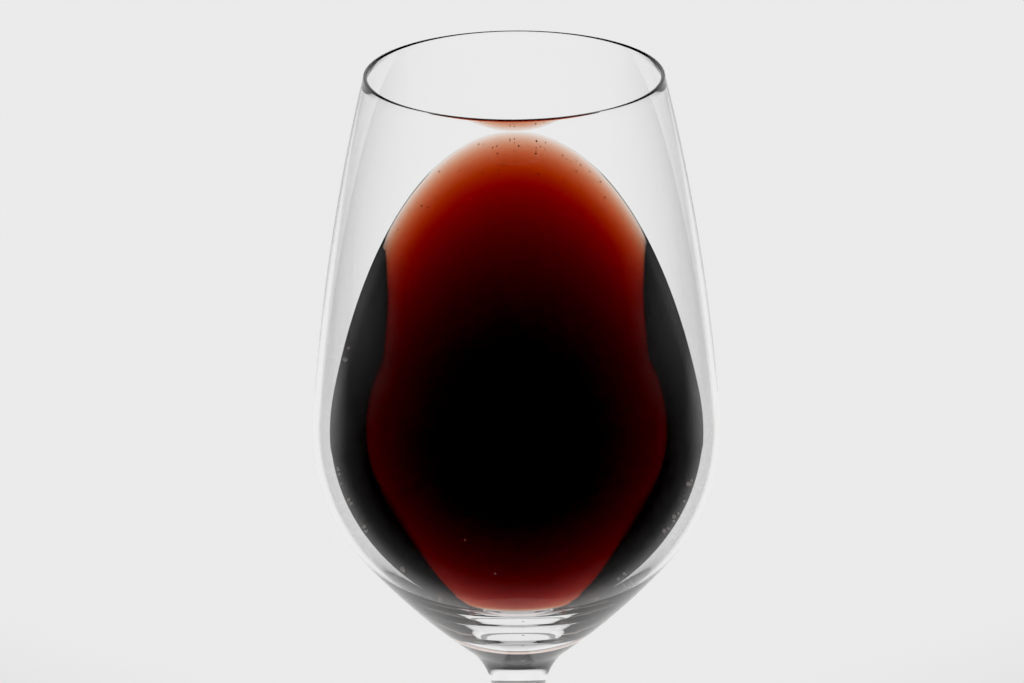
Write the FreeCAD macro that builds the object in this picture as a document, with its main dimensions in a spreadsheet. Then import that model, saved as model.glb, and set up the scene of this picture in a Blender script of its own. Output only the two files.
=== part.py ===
"""A stemmed glass with red wine in it, as two solids: the glass and the wine.

Millimetres, +Z up, origin at the centre of the foot's underside. Both pieces are turned about Z from
outlines made of tangent arcs. The wine lies against the far wall (+Y) with its flat surface leaning,
as it does in a glass that is held at a slant.
"""

import FreeCAD, Part
import Sketcher
import os

doc = FreeCAD.newDocument("glass_of_red_wine")

# Driving sizes. Lengths are in millimetres and angles in degrees.
sizes = {
    # foot
    "foot_radius": 40.0,
    "foot_edge": 1.6,  # thickness of the rounded edge
    "foot_slope": 8.0,  # of the foot's upper face
    "foot_hollow": 1.2,  # rise of the underside at the centre
    "ring_width": 9.0,  # flat ring that the glass stands on
    "flare_bend": 22.0,  # from the stem out into the foot
    # stem
    "waist_radius": 4.0,
    "stem_taper": 5.0,  # slope where the stem leaves the neck
    "neck_height": 106.8,  # of the corner between bowl and stem, above the table
    "neck_radius": 12.6,
    "stem_top_r": 6.0,  # where the curve below the neck ends
    # bowl, outside
    "belly_rise": 53.2,  # widest place above the neck
    "belly_radius": 46.1,
    "belly_bend": 45.0,
    "upper_turn": 4.5,  # angle that the belly bend takes above the widest place
    "lower_turn": 38.0,  # and below it
    "rim_rise": 84.0,  # rim above the widest place
    "rim_radius": 33.0,
    # bowl, inside
    "rim_wall": 0.9,
    "bowl_wall": 1.2,
    "bottom_rise": 7.7,  # inner bottom above the neck
    # wine
    "wine_lean": 22.4,  # angle between the wine's surface and the glass's axis
    "wine_crossing": 11.9,  # where that surface meets the axis, above the inner bottom
}

# Worked out from them: r is a distance from the axis, z a height above the table.
worked_out = {
    "edge_bend": "foot_edge / 2",
    "edge_r": "foot_radius - edge_bend",
    "ring_r": "edge_r - ring_width",
    "flare_turn": "90 - foot_slope",
    "flare_low_r": "waist_radius + flare_bend * (1 - cos(flare_turn))",
    "flare_low_z": "foot_edge + (edge_r - flare_low_r) * tan(foot_slope)",
    "flare_top_z": "flare_low_z + flare_bend * sin(flare_turn)",
    # the belly bend and its two ends
    "belly_z": "neck_height + belly_rise",
    "bend_r": "belly_radius - belly_bend",
    "belly_top_r": "bend_r + belly_bend * cos(upper_turn)",
    "belly_top_z": "belly_z + belly_bend * sin(upper_turn)",
    "belly_low_r": "bend_r + belly_bend * cos(lower_turn)",
    "belly_low_z": "belly_z - belly_bend * sin(lower_turn)",
    # the bowl's lower side runs on from the belly bend to the neck
    "cone_run": "sqrt((belly_low_r - neck_radius)^2 + (belly_low_z - neck_height)^2)",
    "cone_slope": "atan((belly_low_r - neck_radius) / (belly_low_z - neck_height)) / 1 deg",
    "cone_bend": "cone_run / (2 * sin(cone_slope - lower_turn))",
    "neck_turn": "2 * cone_slope - lower_turn",
    "neck_bend": "(neck_radius - stem_top_r) / (cos(stem_taper) - cos(neck_turn))",
    "stem_top_z": "neck_height - neck_bend * (sin(neck_turn) - sin(stem_taper))",
    "stem_bend": "(stem_top_r - waist_radius) / (1 - cos(stem_taper))",
    "waist_z": "stem_top_z - stem_bend * sin(stem_taper)",
    # rim
    "bead_bend": "rim_wall / 2",
    "bead_z": "belly_z + rim_rise - bead_bend",
    "mouth_r": "rim_radius - rim_wall",
    # the upper side runs on from the belly bend to the rim, outside and inside
    "side_run": "sqrt((belly_top_r - rim_radius)^2 + (bead_z - belly_top_z)^2)",
    "side_slope": "atan((belly_top_r - rim_radius) / (bead_z - belly_top_z)) / 1 deg",
    "side_bend": "side_run / (2 * sin(side_slope - upper_turn))",
    "inner_bend": "belly_bend - bowl_wall",
    "inner_top_r": "bend_r + inner_bend * cos(upper_turn)",
    "inner_top_z": "belly_z + inner_bend * sin(upper_turn)",
    "inner_low_r": "bend_r + inner_bend * cos(lower_turn)",
    "inner_low_z": "belly_z - inner_bend * sin(lower_turn)",
    "inner_run": "sqrt((inner_top_r - mouth_r)^2 + (bead_z - inner_top_z)^2)",
    "inner_slope": "atan((inner_top_r - mouth_r) / (bead_z - inner_top_z)) / 1 deg",
    "inner_side_bend": "inner_run / (2 * sin(inner_slope - upper_turn))",
    # the inner bottom: two arcs from the belly bend to the axis, tangent to each other where the
    # two equal legs of their tangents meet
    "bottom_z": "neck_height + bottom_rise",
    "drop": "inner_low_z - bottom_z",
    "leg_sum": "inner_low_r * (1 + sin(lower_turn)) + drop * cos(lower_turn)",
    "leg_spread": "2 - 2 * sin(lower_turn)",
    "leg_root": "sqrt(leg_sum^2 + leg_spread * (inner_low_r^2 + drop^2))",
    "leg": "(leg_root - leg_sum) / leg_spread",
    "leg_end_r": "inner_low_r - leg * sin(lower_turn)",
    "leg_end_z": "inner_low_z - leg * cos(lower_turn)",
    "joint_r": "(leg_end_r + leg) / 2",
    "joint_z": "(leg_end_z + bottom_z) / 2",
    "joint_slope": "atan((leg_end_z - bottom_z) / (leg_end_r - leg)) / 1 deg",
    "bowl_bend": "leg / tan((90 - lower_turn - joint_slope) / 2)",
    "bottom_bend": "leg / tan(joint_slope / 2)",
    # where the wine's surface meets the axis, and a distance that reaches past the whole bowl
    "crossing_z": "bottom_z + wine_crossing",
    "past_bowl": "3 * rim_rise",
}

sheet = doc.addObject("Spreadsheet::Sheet", "Sizes")
for row, (name, value) in enumerate(sizes.items(), start=1):
    sheet.set(f"A{row}", name)
    sheet.set(f"B{row}", str(value))
    sheet.setAlias(f"B{row}", name)
for row, (name, formula) in enumerate(worked_out.items(), start=1):
    sheet.set(f"D{row}", name)
    sheet.setAlias(f"E{row}", name)
    sheet.set(f"E{row}", "=" + formula)
doc.recompute()

ORIGIN = (-1, 1)
AXIS = -2


def value_of(alias):
    """The number that an alias of the sheet, or 0, stands for."""
    return float(sheet.evalExpression(alias))


def bind(sketch, constraint, alias):
    """Adds a constraint whose size is an alias of the sheet."""
    index = sketch.addConstraint(constraint)
    sketch.setExpression(f"Constraints[{index}]", f"Sizes.{alias}")


def plane_of(body, role):
    """One of a body's own origin planes."""
    return next(f for f in body.Origin.OriginFeatures if f.Role == role)


def new_body(name):
    body = doc.addObject("PartDesign::Body", name)
    body.Label = name
    return body


def outline(body, name, corners, edges):
    """A closed sketch on the XZ plane.

    corners are (r, z) aliases, or 0, in order. edges say how each corner is joined to the next one:
    None is a straight line, and an arc is (radius, "left" or "right", fixed), where the side is the
    centre's as seen along the edge. An arc over half a circle is held by its centre: fixed is then
    ("DistanceX" or "DistanceY", alias).
    """
    sketch = body.newObject("Sketcher::SketchObject", name)
    sketch.AttachmentSupport = [(plane_of(body, "XZ_Plane"), "")]
    sketch.MapMode = "FlatFace"
    spots = [FreeCAD.Vector(value_of(r), value_of(z), 0) for r, z in corners]
    count = len(corners)
    ends = []
    for i, edge in enumerate(edges):
        start, end = spots[i], spots[(i + 1) % count]
        if edge is None:
            sketch.addGeometry(Part.LineSegment(start, end))
            ends.append((1, 2))
            continue
        radius, side, _ = edge
        chord = end - start
        left = FreeCAD.Vector(-chord.y, chord.x, 0).normalize()
        toward = left if side == "left" else -left
        half = chord.Length / 2
        size = max(value_of(radius), half)
        centre = (start + end) / 2 + toward * (size**2 - half**2) ** 0.5
        middle = centre - toward * size
        sketch.addGeometry(Part.Arc(start, middle, end))
        # an arc in a sketch always runs anticlockwise, so its start may be the edge's end
        first = sketch.getPoint(i, 1)
        ends.append((1, 2) if first.distanceToPoint(start) < first.distanceToPoint(end) else (2, 1))
    for i in range(count):
        after = (i + 1) % count
        sketch.addConstraint(Sketcher.Constraint("Coincident", i, ends[i][1], after, ends[after][0]))
    for i, (r, z) in enumerate(corners):
        point = (i, ends[i][0])
        if r == "0":
            sketch.addConstraint(Sketcher.Constraint("PointOnObject", *point, AXIS))
        else:
            bind(sketch, Sketcher.Constraint("DistanceX", *ORIGIN, *point, spots[i].x), r)
        if z == "0":
            sketch.addConstraint(Sketcher.Constraint("PointOnObject", *point, -1))
        else:
            bind(sketch, Sketcher.Constraint("DistanceY", *ORIGIN, *point, spots[i].y), z)
    for i, edge in enumerate(edges):
        if edge is None:
            continue
        radius, _, fixed = edge
        if fixed:
            way, place = fixed
            bind(sketch, Sketcher.Constraint(way, *ORIGIN, i, 3, value_of(place)), place)
        else:
            bind(sketch, Sketcher.Constraint("Radius", i, value_of(radius)), radius)
    return sketch


def turned(body, sketch, name):
    """The sketch turned once round the glass's axis."""
    solid = body.newObject("PartDesign::Revolution", name)
    solid.Profile = sketch
    solid.ReferenceAxis = (sketch, ["V_Axis"])
    solid.Angle = 360
    return solid


# The bowl's inner outline, from the axis at its bottom up to the mouth: the glass's inner face and
# the wine's outer one.
inner_corners = [
    ("0", "bottom_z"),
    ("joint_r", "joint_z"),
    ("inner_low_r", "inner_low_z"),
    ("inner_top_r", "inner_top_z"),
    ("mouth_r", "bead_z"),
]
inner_edges = [
    ("bottom_bend", "left", None),
    ("bowl_bend", "left", None),
    ("inner_bend", "left", None),
    ("inner_side_bend", "left", None),
]

# Glass: one blown and drawn piece of foot, stem and bowl, with a fire-polished round rim.
glass = new_body("glass")
outer_corners = [
    ("rim_radius", "bead_z"),
    ("belly_top_r", "belly_top_z"),
    ("belly_low_r", "belly_low_z"),
    ("neck_radius", "neck_height"),
    ("stem_top_r", "stem_top_z"),
    ("waist_radius", "waist_z"),
    ("waist_radius", "flare_top_z"),
    ("flare_low_r", "flare_low_z"),
    ("edge_r", "foot_edge"),
    ("edge_r", "0"),
    ("ring_r", "0"),
    ("0", "foot_hollow"),
]
outer_edges = [
    ("side_bend", "right", None),
    ("belly_bend", "right", None),
    ("cone_bend", "right", None),
    ("neck_bend", "left", None),
    ("stem_bend", "left", None),
    None,
    ("flare_bend", "left", None),
    None,
    ("edge_bend", "right", ("DistanceX", "edge_r")),
    None,
    None,
    None,
]
bead = ("bead_bend", "right", ("DistanceY", "bead_z"))
glass_sketch = outline(
    glass, "glass_outline", inner_corners + outer_corners, inner_edges + [bead] + outer_edges
)
turned(glass, glass_sketch, "glass_turned")

# Wine: fills the bowl's inside up to a flat surface that leans back towards the far wall.
wine = new_body("wine")
wine_sketch = outline(
    wine, "wine_outline", inner_corners + [("0", "bead_z")], inner_edges + [None, None]
)
turned(wine, wine_sketch, "wine_turned")

surface = wine.newObject("Sketcher::SketchObject", "wine_surface")
surface.AttachmentSupport = [(plane_of(wine, "XY_Plane"), "")]
surface.MapMode = "FlatFace"
surface.AttachmentOffset = FreeCAD.Placement(
    FreeCAD.Vector(0, 0, value_of("crossing_z")),
    FreeCAD.Rotation(FreeCAD.Vector(1, 0, 0), 90 - value_of("wine_lean")),
)
surface.setExpression("AttachmentOffset.Base.z", "Sizes.crossing_z")
surface.setExpression("AttachmentOffset.Rotation.Angle", "90 - Sizes.wine_lean")
surface.addGeometry(Part.Circle(FreeCAD.Vector(), FreeCAD.Vector(0, 0, 1), value_of("past_bowl")))
surface.addConstraint(Sketcher.Constraint("Coincident", 0, 3, *ORIGIN))
bind(surface, Sketcher.Constraint("Radius", 0, value_of("past_bowl")), "past_bowl")
above = wine.newObject("PartDesign::Pocket", "above_the_wine")
above.Profile = surface
above.Reversed = True
above.setExpression("Length", "Sizes.past_bowl")
doc.recompute()

for item in doc.Objects:
    if "Invalid" in item.State or "Error" in item.State:
        raise RuntimeError(f"{item.Name} failed: {item.State}")
os.makedirs("parts", exist_ok=True)
for body in (glass, wine):
    shape = body.Shape
    if shape.isNull() or not shape.isValid() or len(shape.Solids) != 1:
        raise RuntimeError(f"{body.Label} is not one valid solid")
    print(body.Label, "volume ml", round(shape.Volume / 1000, 2), shape.BoundBox)
for body in (glass, wine):
    body.Shape.exportStep(f"parts/{body.Label}.step")
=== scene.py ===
import bisect
import math
import random

import bmesh
import bpy
from mathutils import Matrix, Vector


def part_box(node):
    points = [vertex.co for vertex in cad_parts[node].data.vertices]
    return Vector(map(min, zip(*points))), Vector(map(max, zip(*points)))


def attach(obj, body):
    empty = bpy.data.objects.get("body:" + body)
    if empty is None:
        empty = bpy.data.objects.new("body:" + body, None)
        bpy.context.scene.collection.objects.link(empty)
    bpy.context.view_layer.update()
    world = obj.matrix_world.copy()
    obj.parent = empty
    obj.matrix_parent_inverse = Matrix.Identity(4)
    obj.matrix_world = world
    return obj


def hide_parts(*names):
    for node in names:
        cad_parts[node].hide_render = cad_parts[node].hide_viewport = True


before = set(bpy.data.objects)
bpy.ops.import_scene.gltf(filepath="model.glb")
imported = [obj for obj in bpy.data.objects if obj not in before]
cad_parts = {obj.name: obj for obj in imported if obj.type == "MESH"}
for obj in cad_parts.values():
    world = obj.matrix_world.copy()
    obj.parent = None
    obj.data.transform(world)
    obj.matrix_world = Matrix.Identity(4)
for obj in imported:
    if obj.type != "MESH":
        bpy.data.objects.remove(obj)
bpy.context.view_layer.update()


# ---- Glass ---------------------------------------------------------------------------------------
# One piece of clear glass: a thin blown bowl with a fire-polished rim, a thick lens-like bottom,
# and a drawn stem that flares into a flat foot. It is spun from one outline of arcs and lines.

MM = 0.001
glass_low, glass_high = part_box("glass")
GLASS_TOP = glass_high[2]
BELLY_RADIUS = (glass_high[0] - glass_low[0]) / 2
BELLY_HEIGHT = 160 * MM  # of the widest place
BELLY_BEND = 45 * MM
UPPER_TURN = math.radians(4.5)  # angle that the belly bend takes above the widest place
LOWER_TURN = math.radians(38)  # and below it
RIM_RADIUS = 33 * MM
RIM_WALL = 0.9 * MM
BOWL_WALL = 1.2 * MM
BOTTOM_HEIGHT = 114.5 * MM  # of the bowl's inside
NECK_HEIGHT = 106.8 * MM  # of the corner between bowl and stem
NECK_RADIUS = 12.6 * MM
STEM_TOP_RADIUS = 6 * MM  # where the curve below the neck ends
STEM_TAPER = math.radians(5)
WAIST_RADIUS = 4 * MM
FLARE_BEND = 22 * MM
FOOT_RADIUS = 40 * MM
FOOT_EDGE = 1.6 * MM
FOOT_SLOPE = math.radians(8)
FOOT_HOLLOW = 1.2 * MM  # rise of the underside at the centre
RING_WIDTH = 9 * MM  # flat ring that the glass stands on
ROUND_STEPS = 224  # round the axis
BEAD_STEPS = 10  # round the rim's and the foot's edge
SEAM_GAP = 0.002 * MM
GLASS_CREASE = math.radians(40)


def start_outline(name, r, z):
    """A new object with one selected vertex at (r, z) in the XZ plane, in edit mode."""
    bpy.ops.object.select_all(action="DESELECT")
    bpy.ops.mesh.primitive_plane_add(size=MM, location=(0, 0, 0))
    piece = bpy.context.object
    piece.name = piece.data.name = name
    bpy.ops.object.mode_set(mode="EDIT")
    bpy.ops.mesh.select_all(action="SELECT")
    bpy.ops.mesh.merge(type="CENTER")
    bpy.ops.transform.translate(value=(r, 0, z))
    return piece


class Pen:
    """Draws an outline in the XZ plane from its last vertex on, turning smoothly as it goes."""

    def __init__(self, name, r, z, heading):
        self.piece = start_outline(name, r, z)
        self.r, self.z, self.heading = r, z, heading

    def arc(self, radius, turn, steps, left=True):
        side = 1 if left else -1
        away = (-math.sin(self.heading) * side, math.cos(self.heading) * side)
        centre = (self.r + radius * away[0], self.z + radius * away[1])
        bpy.ops.mesh.spin(
            steps=steps, angle=turn, center=(centre[0], 0, centre[1]), axis=(0, side, 0)
        )
        self.heading += side * turn
        self.r = centre[0] + side * radius * math.sin(self.heading)
        self.z = centre[1] - side * radius * math.cos(self.heading)

    def line(self, r, z):
        bpy.ops.mesh.extrude_region_move(
            TRANSFORM_OT_translate={"value": (r - self.r, 0, z - self.z)}
        )
        self.r, self.z = r, z

    def turn_round(self, steps):
        """Spins the outline once round the axis and closes seam and poles."""
        bpy.ops.mesh.select_all(action="SELECT")
        bpy.ops.mesh.spin(steps=steps, angle=math.tau, center=(0, 0, 0), axis=(0, 0, 1))
        bpy.ops.mesh.select_all(action="SELECT")
        bpy.ops.mesh.remove_doubles(threshold=SEAM_GAP)
        bpy.ops.mesh.normals_make_consistent(inside=False)
        bpy.ops.object.mode_set(mode="OBJECT")
        return self.piece


bend_r = BELLY_RADIUS - BELLY_BEND
inner_bend = BELLY_BEND - BOWL_WALL
bead_bend = RIM_WALL / 2
bead_z = GLASS_TOP - bead_bend


def side_arc(bend, rim_r):
    """Radius and turn of the bowl's upper side, from the belly bend to the rim."""
    low_r = bend_r + bend * math.cos(UPPER_TURN)
    low_z = BELLY_HEIGHT + bend * math.sin(UPPER_TURN)
    slope = math.atan2(low_r - rim_r, bead_z - low_z)
    run = math.hypot(low_r - rim_r, bead_z - low_z)
    return run / (2 * math.sin(slope - UPPER_TURN)), 2 * (slope - UPPER_TURN)


# The inner bottom is two arcs from the belly bend to the axis. They meet halfway between the ends
# of two equal legs, one along each end's tangent.
inner_low = Vector(
    (bend_r + inner_bend * math.cos(LOWER_TURN), BELLY_HEIGHT - inner_bend * math.sin(LOWER_TURN))
)
drop = inner_low.y - BOTTOM_HEIGHT
leg_sum = inner_low.x * (1 + math.sin(LOWER_TURN)) + drop * math.cos(LOWER_TURN)
leg_spread = 2 - 2 * math.sin(LOWER_TURN)
leg_root = math.sqrt(leg_sum**2 + leg_spread * (inner_low.x**2 + drop**2))
leg = (leg_root - leg_sum) / leg_spread
leg_end = inner_low - leg * Vector((math.sin(LOWER_TURN), math.cos(LOWER_TURN)))
joint_slope = math.atan2(leg_end.y - BOTTOM_HEIGHT, leg_end.x - leg)
bowl_turn = math.pi / 2 - LOWER_TURN - joint_slope
bowl_bend = leg / math.tan(bowl_turn / 2)
bottom_bend = leg / math.tan(joint_slope / 2)


def draw_inside(pen, extra):
    """The bowl's inner outline from its bottom to the mouth, extra deep into the wall."""
    side_bend, side_turn = side_arc(inner_bend, RIM_RADIUS - RIM_WALL)
    pen.arc(bottom_bend + extra, joint_slope, steps=20)
    pen.arc(bowl_bend + extra, bowl_turn, steps=22)
    pen.arc(inner_bend + extra, LOWER_TURN + UPPER_TURN, steps=32)
    pen.arc(side_bend + extra, side_turn, steps=36)


pen = Pen("glass_body", 0, BOTTOM_HEIGHT, 0)
draw_inside(pen, 0)
bpy.ops.mesh.spin(
    steps=BEAD_STEPS, angle=math.pi, center=(RIM_RADIUS - bead_bend, 0, bead_z), axis=(0, -1, 0)
)
side_bend, side_turn = side_arc(BELLY_BEND, RIM_RADIUS)
pen.r, pen.z = RIM_RADIUS, bead_z
pen.heading = -math.pi / 2 + UPPER_TURN + side_turn
pen.arc(side_bend, side_turn, steps=36, left=False)
pen.arc(BELLY_BEND, UPPER_TURN + LOWER_TURN, steps=32, left=False)
cone_slope = math.atan2(pen.r - NECK_RADIUS, pen.z - NECK_HEIGHT)
cone_run = math.hypot(pen.r - NECK_RADIUS, pen.z - NECK_HEIGHT)
cone_turn = 2 * (cone_slope - LOWER_TURN)
pen.arc(cone_run / (2 * math.sin(cone_turn / 2)), cone_turn, steps=28, left=False)
neck_turn = LOWER_TURN + cone_turn
neck_bend = (NECK_RADIUS - STEM_TOP_RADIUS) / (math.cos(STEM_TAPER) - math.cos(neck_turn))
pen.arc(neck_bend, neck_turn - STEM_TAPER, steps=24)
pen.arc((pen.r - WAIST_RADIUS) / (1 - math.cos(STEM_TAPER)), STEM_TAPER, steps=16)
edge_r = FOOT_RADIUS - FOOT_EDGE / 2
flare_turn = math.pi / 2 - FOOT_SLOPE
flare_low_r = WAIST_RADIUS + FLARE_BEND * (1 - math.cos(flare_turn))
flare_low_z = FOOT_EDGE + (edge_r - flare_low_r) * math.tan(FOOT_SLOPE)
pen.line(WAIST_RADIUS, flare_low_z + FLARE_BEND * math.sin(flare_turn))
pen.arc(FLARE_BEND, flare_turn, steps=24)
pen.line(edge_r, FOOT_EDGE)
bpy.ops.mesh.spin(
    steps=BEAD_STEPS, angle=math.pi, center=(edge_r, 0, FOOT_EDGE / 2), axis=(0, -1, 0)
)
pen.r, pen.z = edge_r, 0
pen.line(edge_r - RING_WIDTH, 0)
pen.line(0, FOOT_HOLLOW)
glass = pen.turn_round(ROUND_STEPS)
bpy.ops.object.shade_smooth_by_angle(angle=GLASS_CREASE)


def colour(code):
    """An sRGB hex colour as the linear RGBA that shaders take."""
    parts = [int(code[i : i + 2], 16) / 255 for i in (1, 3, 5)]
    return [p / 12.92 if p <= 0.04045 else ((p + 0.055) / 1.055) ** 2.4 for p in parts] + [1]


def node(tree, kind, settings=None, values=None, links=None):
    """Adds a node with its settings, its sockets' values and the links into it."""
    made = tree.nodes.new(kind)
    for key, value in (settings or {}).items():
        setattr(made, key, value)
    for key, value in (values or {}).items():
        made.inputs[key].default_value = value
    for key, source in (links or {}).items():
        tree.links.new(source, made.inputs[key])
    return made


def new_material(name):
    """An empty material and its node tree."""
    made = bpy.data.materials.new(name)
    made.use_nodes = True
    made.node_tree.nodes.clear()
    return made, made.node_tree


# Clear lead-free crystal, blown and fire-polished: no colour, dark outlines where it turns the
# light away, and hardly any grey veil over what is seen through it. Its waves come from drawing.
WAVE_LENGTH = 18.18 * MM
WAVE_DEPTH = 0.02 * MM
crystal, tree = new_material("blown clear crystal")
where = node(tree, "ShaderNodeTexCoord")
waves = node(
    tree,
    "ShaderNodeTexNoise",
    values={"Scale": 1 / WAVE_LENGTH, "Detail": 1.0, "Roughness": 0.4},
    links={"Vector": where.outputs["Object"]},
)
drawn = node(
    tree,
    "ShaderNodeBump",
    values={"Strength": 0.25, "Distance": WAVE_DEPTH},
    links={"Height": waves.outputs["Fac"]},
)
crystal_surface = node(
    tree,
    "ShaderNodeBsdfPrincipled",
    values={
        "Base Color": colour("#FFFFFF"),
        "Roughness": 0.0,
        "IOR": 1.52,
        "Specular Tint": colour("#303030"),
        "Transmission Weight": 1.0,
    },
    links={"Normal": drawn.outputs["Normal"]},
)
node(tree, "ShaderNodeOutputMaterial", links={"Surface": crystal_surface.outputs["BSDF"]})
glass.data.materials.append(crystal)
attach(glass, "root")
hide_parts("glass")


# ---- Wine ----------------------------------------------------------------------------------------
# A young red wine, clear and deep, poured to a small serving. It lies against the bowl's far side
# with its surface leaning, and climbs the wall all round in a fine meniscus. It is spun from the
# bowl's inner outline, a little wider so that no air shows between them, and cut by its surface.

WINE_LEAN = math.radians(22.4)  # between the surface and the glass's axis
WINE_CROSSING = 11.9 * MM  # where the surface meets the axis, above the inner bottom
WALL_BITE = 0.15 * MM  # how far the wine reaches into the wall
CAPILLARY = 2.2 * MM  # capillary length, for wine
MENISCUS_REACH = 2.5 * CAPILLARY  # from the contact line to where the surface is taken as flat
CONTACT = math.radians(30)  # angle at which wine meets clean glass
LEAST_SINE = 0.3  # keeps the slide along the wall small where the wall lies along the surface
TOUCHING = 0.02 * MM  # places nearer than this count as one
HAIR = 0.001 * MM
WINE_CREASE = math.radians(14)

up = Vector((0, -math.cos(WINE_LEAN), math.sin(WINE_LEAN)))
on_surface = Vector((0, 0, BOTTOM_HEIGHT + WINE_CROSSING))
pen = Pen("wine_body", 0, BOTTOM_HEIGHT - WALL_BITE, 0)
draw_inside(pen, WALL_BITE)
pen.line(0, pen.z)
wine = pen.turn_round(ROUND_STEPS)
meridian = sorted(
    (v.co.z, v.co.x, v.normal.x, v.normal.z)
    for v in wine.data.vertices
    if v.co.x > 0 and abs(v.co.y) < HAIR
)


def wall_at(place):
    """The wall's radius at a place's height, and its normal towards the glass there."""
    index = bisect.bisect([row[0] for row in meridian], place.z)
    low, high = meridian[index - 1], meridian[index]
    part = (place.z - low[0]) / (high[0] - low[0])
    r, out, rise = (a + (b - a) * part for a, b in zip(low[1:], high[1:]))
    round_it = Vector((place.x, place.y)).normalized()
    return r, Vector((round_it.x * out, round_it.y * out, rise)).normalized()


def wedge_at(place):
    """The angle of the wine's wedge between its flat surface and the wall."""
    return math.acos(-wall_at(place)[1].dot(up))


def climb_at(place):
    """How far the wine climbs where it meets the wall."""
    return 2 * CAPILLARY * math.sin(max(wedge_at(place) - CONTACT, 0) / 2)


bpy.ops.object.mode_set(mode="EDIT")
bpy.ops.mesh.select_all(action="SELECT")
bpy.ops.mesh.bisect(
    plane_co=on_surface, plane_no=up, use_fill=False, clear_outer=True, threshold=HAIR
)

# The open top is closed by rings that lie close together at the wall, where the surface curves up.
# Their widths are in millimetres, from the wall inwards.
RINGS = [0.1, 0.15, 0.2, 0.25, 0.3, 0.35, 0.4, 0.5, 0.6, 0.7, 0.9, 1.1, 1.4, 1.8]
bpy.ops.mesh.select_all(action="DESELECT")
bpy.ops.mesh.select_mode(type="EDGE")
bpy.ops.mesh.select_non_manifold()
bpy.ops.mesh.remove_doubles(threshold=TOUCHING)
shape = bmesh.from_edit_mesh(wine.data)
wet_edges = [edge for edge in shape.edges if edge.is_boundary]
contact_line = [(edge.verts[0].co.copy(), edge.verts[1].co.copy()) for edge in wet_edges]
middle = sum((start for start, _ in contact_line), Vector()) / len(contact_line)
half_width = max(start.x for start, _ in contact_line)
still_open = half_width
for ring in RINGS:
    bpy.ops.mesh.extrude_edges_move()
    share = 1 - ring * MM / still_open
    bpy.ops.transform.resize(value=(share, share, share), center_override=middle)
    still_open -= ring * MM
bpy.ops.mesh.edge_face_add()
bpy.ops.mesh.select_all(action="SELECT")
bpy.ops.mesh.normals_make_consistent(inside=False)
bpy.ops.object.mode_set(mode="OBJECT")


def to_contact_line(place):
    """The distance from a place to the contact line, and the nearest place on it."""
    best = (1, None)
    for start, end in contact_line:
        along = end - start
        part = min(max((place - start).dot(along) / along.length_squared, 0), 1)
        nearest = start + along * part
        gap = (place - nearest).length
        if gap < best[0]:
            best = (gap, nearest)
    return best


# The surface climbs the wall in a curve that dies away inwards, and its edge slides up the wall.
for vertex in wine.data.vertices:
    if abs((vertex.co - on_surface).dot(up)) > TOUCHING:
        continue
    distance, nearest = to_contact_line(vertex.co)
    if distance > MENISCUS_REACH:
        continue
    wall = wall_at(nearest)[1]
    climb = climb_at(nearest)
    fade = math.exp(-max(distance - WALL_BITE, 0) / CAPILLARY)
    fade *= 1 - (distance / MENISCUS_REACH) ** 4
    sine = max(math.sin(wedge_at(nearest)), LEAST_SINE)
    along_wall = (up - up.dot(wall) * wall) / sine**2
    slide = (along_wall - up) * climb * math.exp(-2 * distance / CAPILLARY)
    vertex.co += up * climb * fade + slide
    if distance < TOUCHING:
        vertex.co.xy *= wall_at(vertex.co)[0] / vertex.co.xy.length
bpy.ops.object.select_all(action="DESELECT")
wine.select_set(True)
bpy.context.view_layer.objects.active = wine
bpy.ops.object.shade_smooth_by_angle(angle=WINE_CREASE)

# Red wine: red light falls to about a third in 5 mm of it, green and blue in 1 to 1.5 mm, so it
# goes from peach through orange and deep red to black as it gets deeper.
LIGHT_DEPTHS = (5.263 * MM, 1.4286 * MM, 1.0 * MM)  # for red, green and blue
absorption = 1 / min(LIGHT_DEPTHS)
passed = [1 - 1 / (depth * absorption) for depth in LIGHT_DEPTHS]
claret, tree = new_material("red wine")
claret_surface = node(
    tree,
    "ShaderNodeBsdfPrincipled",
    values={
        "Base Color": colour("#FFFFFF"),
        "Roughness": 0.0,
        "IOR": 1.345,
        "Transmission Weight": 1.0,
    },
)
claret_depth = node(
    tree,
    "ShaderNodeVolumeAbsorption",
    values={"Color": passed + [1], "Density": absorption},
)
node(
    tree,
    "ShaderNodeOutputMaterial",
    links={"Surface": claret_surface.outputs["BSDF"], "Volume": claret_depth.outputs["Volume"]},
)
wine.data.materials.append(claret)
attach(wine, "root")
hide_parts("wine")


# ---- Bubbles -------------------------------------------------------------------------------------
# Fine bubbles left by pouring. Most sit in strings on the contact line, where the wine's edge holds
# them against the glass, and a few float on the open surface. Each is a small ball like a thin film
# of wine, coloured pale as a painted highlight.

BUBBLE_STRINGS = [  # place round the contact line in degrees from the top, spread, how many
    (-61, 2.0, 9),
    (-98, 3.0, 5),
    (-108, 1.0, 2),
    (-117, 3.0, 4),
    (-138, 3.0, 3),
    (102, 1.5, 3),
    (109, 1.0, 2),
    (114, 2.0, 4),
    (120, 1.5, 3),
    (141, 3.0, 3),
]
BUBBLE_RADII = (0.2 * MM, 0.55 * MM)
BUBBLE_INSET = (0.9, 2.2)  # from the wine's edge, in the bubble's radii
SURFACE_SHAPE = 1.3  # the surface's length over its width
# Shares of the way across and up the surface from its middle, and the radius in millimetres.
AFLOAT = [(0.02, -0.80, 0.3), (0.33, -0.76, 0.3), (-0.12, -0.52, 0.18), (-0.28, -0.38, 0.2)]

steep = Vector((0, math.sin(WINE_LEAN), math.cos(WINE_LEAN)))  # up along the surface
chance = random.Random(7)


def on_contact_line(degrees):
    """The place where a direction from the surface's middle meets the contact line."""
    way = math.radians(degrees)
    best = max(
        contact_line,
        key=lambda edge: (edge[0] - middle).normalized().dot(
            Vector((math.sin(way), 0, 0)) + steep * math.cos(way)
        ),
    )
    return best[0]


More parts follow.
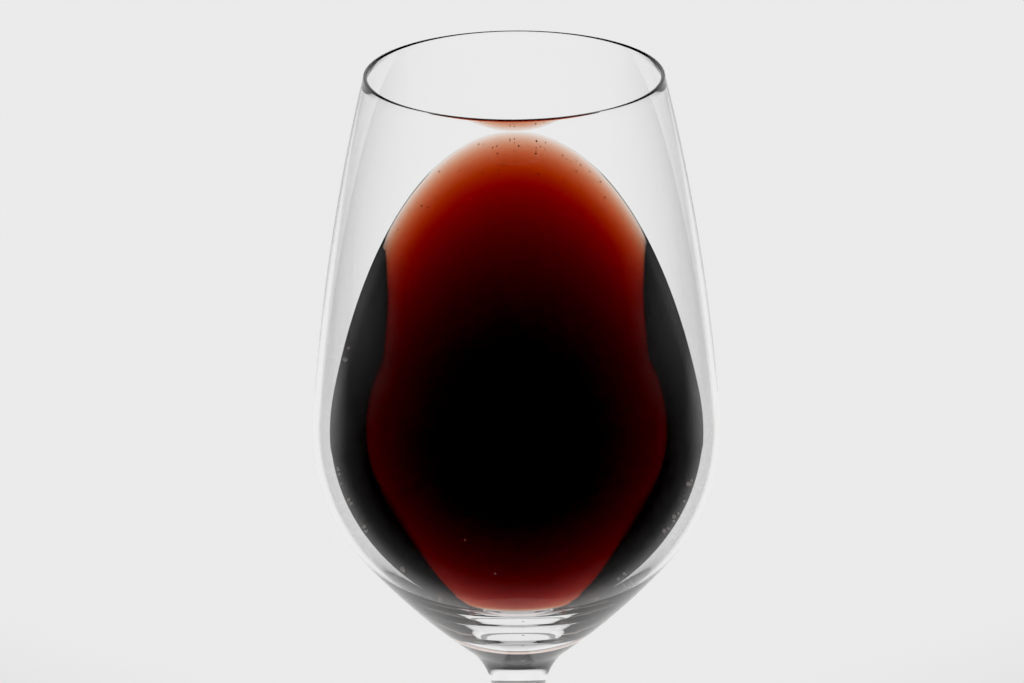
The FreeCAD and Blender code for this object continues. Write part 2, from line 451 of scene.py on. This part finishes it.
def joined(parts, name):
    """Joins small meshes into one piece that lies at the origin."""
    bpy.ops.object.select_all(action="DESELECT")
    for part in parts:
        part.select_set(True)
    bpy.context.view_layer.objects.active = parts[0]
    bpy.ops.object.join()
    piece = bpy.context.object
    piece.name = piece.data.name = name
    bpy.ops.object.transform_apply(location=True, rotation=True, scale=True)
    return piece


bpy.ops.object.select_all(action="DESELECT")
seeds = []
for degrees, spread, count in BUBBLE_STRINGS:
    for _ in range(count):
        edge_place = on_contact_line(degrees + chance.uniform(-spread, spread))
        radius = chance.uniform(*BUBBLE_RADII)
        inward = (middle - edge_place).normalized()
        lift = climb_at(edge_place)
        spot = edge_place + up * lift + inward * radius * chance.uniform(*BUBBLE_INSET)
        seeds.append((spot, radius))
for across, along, radius in AFLOAT:
    spot = middle + Vector((across * half_width, 0, 0)) + steep * along * half_width * SURFACE_SHAPE
    seeds.append((spot, radius * MM))
bubbles = []
for spot, radius in seeds:
    bpy.ops.mesh.primitive_uv_sphere_add(segments=20, ring_count=12, radius=radius, location=spot)
    bubbles.append(bpy.context.object)
froth = joined(bubbles, "bubbles")
bpy.ops.object.shade_smooth()

# Wine film: a very pale pink skin, glossy and partly clear. Its pale colour is a painted highlight,
# so that each bubble shows as a light dot on dark wine.
painted_highlight_film, tree = new_material("bubble film with painted highlight")
painted_highlight_surface = node(
    tree,
    "ShaderNodeBsdfPrincipled",
    # pale base colour: painted highlight on the bubbles
    values={
        "Base Color": colour("#F7ECE9"),
        "Roughness": 0.08,
        "IOR": 1.3,
        "Transmission Weight": 0.3,
    },
)
node(tree, "ShaderNodeOutputMaterial", links={"Surface": painted_highlight_surface.outputs["BSDF"]})
froth.data.materials.append(painted_highlight_film)
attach(froth, "root")


# ---- Sediment ------------------------------------------------------------------------------------
# Dark crumbs of pigment in the wine, thickest near its upper edge, where the layer is thin enough
# to show them. Each is a squashed ball, turned its own way.

CRUMBS = 80
CRUMB_RADII = (0.07 * MM, 0.2 * MM)
CRUMB_SPREAD = 20  # degrees round the contact line, to either side of its top
CRUMB_INSET = (1.0, 9.0)  # from the contact line, in millimetres
CRUMB_SINK = (0.05, 0.4)  # shares of the wine's depth there
CRUMB_LENGTH = (0.7, 1.6)
CRUMB_WIDTH = (0.5, 1.0)
DEEPEST_WEDGE = 1.0  # radians

bpy.ops.object.select_all(action="DESELECT")
crumbs = []
for _ in range(CRUMBS):
    edge_place = on_contact_line(chance.gauss(0, CRUMB_SPREAD))
    inward = (middle - edge_place).normalized()
    inset = chance.uniform(*CRUMB_INSET) * MM
    wine_depth = inset * math.tan(min(wedge_at(edge_place), DEEPEST_WEDGE))
    spot = edge_place + inward * inset - up * wine_depth * chance.uniform(*CRUMB_SINK)
    radius = chance.uniform(*CRUMB_RADII)
    bpy.ops.mesh.primitive_ico_sphere_add(subdivisions=2, radius=radius, location=spot)
    crumb = bpy.context.object
    crumb.rotation_euler = [chance.uniform(0, math.pi) for _ in range(3)]
    crumb.scale = (chance.uniform(*CRUMB_LENGTH), chance.uniform(*CRUMB_WIDTH), 1)
    crumbs.append(crumb)
sediment = joined(crumbs, "sediment")

# Clumped grape pigment: matt, from black-red to dark red grain by grain.
GRAIN = 0.25 * MM
pigment, tree = new_material("wine sediment")
where = node(tree, "ShaderNodeTexCoord")
grain = node(
    tree,
    "ShaderNodeTexNoise",
    values={"Scale": 1 / GRAIN, "Detail": 2.0},
    links={"Vector": where.outputs["Object"]},
)
shades = node(
    tree,
    "ShaderNodeMix",
    {"data_type": "RGBA"},
    {"A": colour("#1A0306"), "B": colour("#3A0A0C")},
    {0: grain.outputs["Fac"]},
)
pigment_surface = node(
    tree,
    "ShaderNodeBsdfPrincipled",
    values={"Roughness": 0.7},
    links={"Base Color": shades.outputs["Result"]},
)
node(tree, "ShaderNodeOutputMaterial", links={"Surface": pigment_surface.outputs["BSDF"]})
sediment.data.materials.append(pigment)
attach(sediment, "root")


# ---- Studio --------------------------------------------------------------------------------------
# A wide table lit from within: pale in a pool behind the glass, mid-grey elsewhere. The room is
# dark but for a bright low band all round and a bright area behind and below, so that the glass
# gets dark outlines and the wine's sides stay black.

TABLE_RADIUS = 12.0
POOL_BEHIND = 0.64  # of the pool's middle, behind the glass
POOL_RADIUS = 0.45  # where the pool's light begins to fall
POOL_REACH = 0.74  # and where it has fallen to the table's
POOL_NARROWING = 1.5  # how much narrower the pool is than deep
POOL_STRENGTH = 0.94
TABLE_STRENGTH = 0.36
PALE = colour("#EFEFEF")
BRIGHT = 1.0
DARK = 0.01
BAND_EDGES = (math.radians(8), math.radians(16))  # from level: bright inside, dark outside
BACK_EDGES = (math.radians(68), math.radians(48))  # from its middle: dark outside, bright inside

bpy.ops.object.select_all(action="DESELECT")
bpy.ops.mesh.primitive_circle_add(vertices=96, radius=TABLE_RADIUS, fill_type="NGON")
table = bpy.context.object
table.name = "table"
table_top, tree = new_material("pale lit table")
on_table = node(tree, "ShaderNodeTexCoord")
narrowed = node(
    tree,
    "ShaderNodeVectorMath",
    {"operation": "MULTIPLY"},
    {1: (POOL_NARROWING, 1, 1)},
    {0: on_table.outputs["Object"]},
)
from_pool = node(
    tree,
    "ShaderNodeVectorMath",
    {"operation": "DISTANCE"},
    {1: (0, POOL_BEHIND, 0)},
    {0: narrowed.outputs["Vector"]},
)
pool = node(
    tree,
    "ShaderNodeMapRange",
    {"interpolation_type": "SMOOTHSTEP"},
    {
        "From Min": POOL_RADIUS,
        "From Max": POOL_REACH,
        "To Min": POOL_STRENGTH,
        "To Max": TABLE_STRENGTH,
    },
    {"Value": from_pool.outputs["Value"]},
)
table_glow = node(
    tree,
    "ShaderNodeEmission",
    values={"Color": PALE},
    links={"Strength": pool.outputs["Result"]},
)
table_face = node(tree, "ShaderNodeBsdfDiffuse", values={"Color": colour("#787878")})
table_both = node(
    tree,
    "ShaderNodeAddShader",
    links={0: table_glow.outputs["Emission"], 1: table_face.outputs["BSDF"]},
)
node(tree, "ShaderNodeOutputMaterial", links={"Surface": table_both.outputs["Shader"]})
table.data.materials.append(table_top)
table.visible_glossy = False

sky = bpy.data.worlds.new("studio")
bpy.context.scene.world = sky
sky.use_nodes = True
tree = sky.node_tree
tree.nodes.clear()
ray = node(tree, "ShaderNodeTexCoord")
height = node(tree, "ShaderNodeSeparateXYZ", links={0: ray.outputs["Generated"]})
from_level = node(
    tree,
    "ShaderNodeMath",
    {"operation": "ABSOLUTE"},
    links={0: height.outputs["Z"]},
)
low_band = node(
    tree,
    "ShaderNodeMapRange",
    {"interpolation_type": "SMOOTHSTEP"},
    {
        "From Min": math.sin(BAND_EDGES[0]),
        "From Max": math.sin(BAND_EDGES[1]),
        "To Min": BRIGHT,
        "To Max": DARK,
    },
    {"Value": from_level.outputs["Value"]},
)
toward_back = node(
    tree,
    "ShaderNodeVectorMath",
    {"operation": "DOT_PRODUCT"},
    {1: (0, math.cos(WINE_LEAN), -math.sin(WINE_LEAN))},
    {0: ray.outputs["Generated"]},
)
back_area = node(
    tree,
    "ShaderNodeMapRange",
    {"interpolation_type": "SMOOTHSTEP"},
    {
        "From Min": math.cos(BACK_EDGES[0]),
        "From Max": math.cos(BACK_EDGES[1]),
        "To Min": DARK,
        "To Max": BRIGHT,
    },
    {"Value": toward_back.outputs["Value"]},
)
brighter = node(
    tree,
    "ShaderNodeMath",
    {"operation": "MAXIMUM"},
    links={0: low_band.outputs["Result"], 1: back_area.outputs["Result"]},
)
glow = node(
    tree,
    "ShaderNodeBackground",
    values={"Color": PALE},
    links={"Strength": brighter.outputs["Value"]},
)
node(tree, "ShaderNodeOutputWorld", links={"Surface": glow.outputs["Background"]})


# ---- Camera and picture --------------------------------------------------------------------------
# A long lens a little above the rim, so that the bowl fills the picture and the foot is cut off.

CAMERA_DISTANCE = 825 * MM
CAMERA_HEIGHT = math.radians(21.455)  # above level
CAMERA_ROLL = math.radians(-0.45)
AIM_BELOW_RIM = 62.9 * MM
CAMERA_ASIDE = -0.9 * MM
LENS = 129.14
SENSOR_WIDTH = 36
FARTHEST_SEEN = 100
BLACK_LEVEL = (0.007, 0.0075, 0.0075)  # deepens the blacks a little
CLEAR_BOUNCES = 40  # through both walls, the wine and the thick bottom

bpy.ops.object.camera_add()
camera = bpy.context.object
camera.name = "camera"
camera.data.lens = LENS
camera.data.sensor_width = SENSOR_WIDTH
camera.data.clip_end = FARTHEST_SEEN
aim = Vector((CAMERA_ASIDE, 0, GLASS_TOP - AIM_BELOW_RIM))
back = Vector((0, -math.cos(CAMERA_HEIGHT), math.sin(CAMERA_HEIGHT)))
turn = Matrix.Rotation(math.pi / 2 - CAMERA_HEIGHT, 4, "X") @ Matrix.Rotation(CAMERA_ROLL, 4, "Z")
camera.matrix_world = Matrix.Translation(aim + back * CAMERA_DISTANCE) @ turn
scene = bpy.context.scene
scene.camera = camera
scene.view_settings.view_transform = "Standard"
scene.view_settings.use_curve_mapping = True
scene.view_settings.curve_mapping.black_level = BLACK_LEVEL
scene.view_settings.curve_mapping.update()
scene.cycles.use_denoising = True
scene.cycles.max_bounces = CLEAR_BOUNCES
scene.cycles.transmission_bounces = CLEAR_BOUNCES
scene.cycles.glossy_bounces = 16
scene.cycles.diffuse_bounces = 3
scene.cycles.volume_bounces = 0
scene.cycles.sample_clamp_indirect = 0
